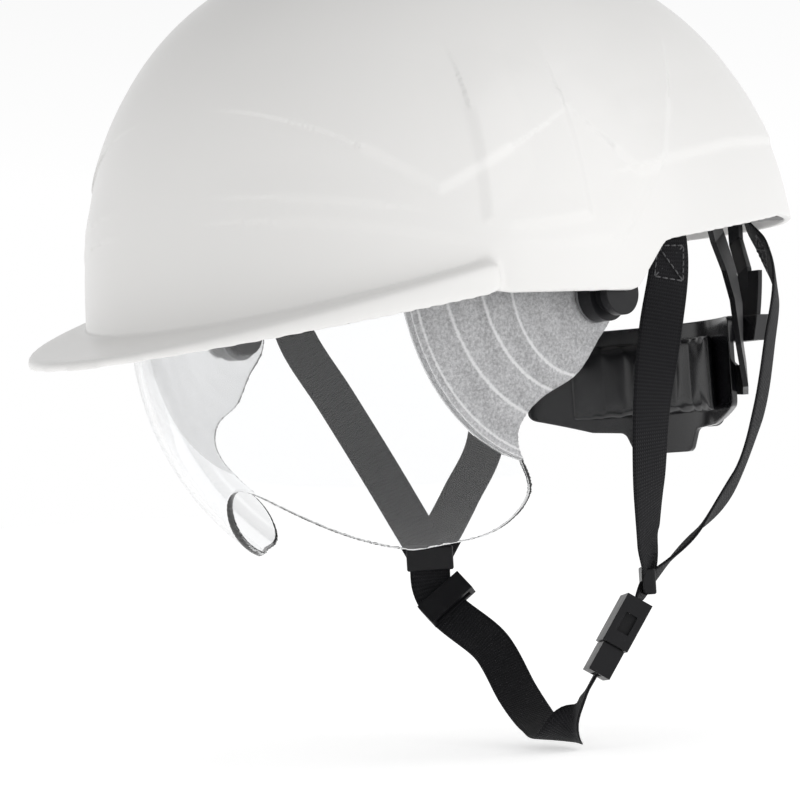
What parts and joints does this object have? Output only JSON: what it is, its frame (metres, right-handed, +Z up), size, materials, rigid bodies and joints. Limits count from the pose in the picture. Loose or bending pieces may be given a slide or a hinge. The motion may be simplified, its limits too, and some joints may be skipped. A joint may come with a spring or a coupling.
{
  "type": "hard hat",
  "caption": "Hard hat with a front brim, flip-down clear eye shield, webbing suspension, ratchet nape cradle and a buckled chin strap.",
  "frame": {"origin": "centre of the head seat: level with the eyewear pivots and the side rim, midway between the ears", "axes": "+Z up, -Y to the front, +X to the wearer's left"},
  "size_m": [0.214, 0.2995, 0.2848],
  "materials": {
    "white_shell": "glossy moulded",
    "clear_lens": "clear polycarbonate",
    "black_plastic": "satin moulded",
    "gloss_black": "glossy moulded",
    "grey_plastic": "satin moulded",
    "black_webbing": "ribbed woven polyester",
    "crown_webbing": "woven polyester",
    "foam_fabric": "brushed fabric over foam",
    "steel": "plated screws"
  },
  "bodies": {
    "helmet": {"shell": "white_shell", "bracket_screws": "steel", "pivot_bracket_left": "black_plastic", "pivot_bracket_right": "black_plastic", "pivot_screw_left": "black_plastic", "pivot_screw_right": "black_plastic", "pivot_washer_left": "grey_plastic", "pivot_washer_right": "grey_plastic", "side_key_left": "grey_plastic", "side_key_right": "grey_plastic", "rear_key_left": "grey_plastic", "rear_key_right": "grey_plastic", "rear_hanger_left": "black_plastic", "rear_hanger_right": "black_plastic", "temple_pin_left": "black_plastic", "temple_pin_right": "black_plastic", "chin_anchor_front_left": "black_plastic", "chin_anchor_front_right": "black_plastic", "chin_anchor_rear_left": "black_plastic", "chin_anchor_rear_right": "black_plastic", "chin_strap_front_left": "black_webbing", "chin_strap_front_right": "black_webbing", "chin_strap_rear_left": "black_webbing", "chin_strap_rear_right": "black_webbing", "strap_tab_left": "black_plastic", "strap_tab_right": "black_plastic", "crown_strap_side": "crown_webbing", "crown_strap_left": "crown_webbing", "crown_strap_right": "crown_webbing", "crown_patch": "crown_webbing", "headband": "black_plastic", "brow_pad": "foam_fabric", "chin_strap_lower": "black_webbing", "buckle_socket": "black_plastic"},
    "eyewear": {"eyewear_lens": "clear_lens"},
    "nape_cradle": {"nape_cradle": "gloss_black", "nape_pad": "foam_fabric", "ratchet_housing": "black_plastic", "ratchet_cover": "black_plastic", "cover_screws": "steel", "detent_ring": "black_plastic"},
    "ratchet_knob": {"ratchet_gear": "grey_plastic", "ratchet_knob": "black_plastic", "detent_spring": "grey_plastic", "knob_screw": "steel"},
    "nape_arm_left": {"nape_arm_left": "black_plastic"},
    "nape_arm_right": {"nape_arm_right": "black_plastic"},
    "buckle_insert": {"buckle_insert": "black_plastic"},
    "strap_slider": {"strap_slider": "black_plastic"}
  },
  "joints": [
    {"name": "eyewear_flip", "type": "hinge", "parent": "helmet", "child": "eyewear", "pos_m": [0, -0.006, 0], "axis": [-1, 0, 0], "range_deg": [0, 56]},
    {"name": "cradle_tilt", "type": "hinge", "parent": "helmet", "child": "nape_cradle", "pos_m": [0, 0.02, 0.02], "axis": [1, 0, 0], "range_deg": [-3, 3]},
    {"name": "ratchet_turn", "type": "hinge", "parent": "nape_cradle", "child": "ratchet_knob", "pos_m": [0, 0.137, -0.026], "axis": [0, 1, 0], "range_deg": [-22, 40]},
    {"name": "arm_left_slide", "type": "slide", "parent": "nape_cradle", "child": "nape_arm_left", "axis": [1, 0, 0], "range_m": [-0.0024, 0.0043]},
    {"name": "arm_right_slide", "type": "slide", "parent": "nape_cradle", "child": "nape_arm_right", "axis": [-1, 0, 0], "range_m": [-0.0024, 0.0043]},
    {"name": "buckle_release", "type": "slide", "parent": "helmet", "child": "buckle_insert", "axis": [-0.3112, -0.4513, -0.8364], "range_m": [0, 0.022], "deforming": ["chin_strap_lower"]},
    {"name": "slider_slide", "type": "slide", "parent": "helmet", "child": "strap_slider", "axis": [0.737, 0.079, -0.6712], "range_m": [0, 0.014]}
  ],
  "couplings": [
    {"joint": "arm_left_slide", "follows": "ratchet_turn", "m_per_rad": 0.006},
    {"joint": "arm_right_slide", "follows": "ratchet_turn", "m_per_rad": 0.006}
  ]
}
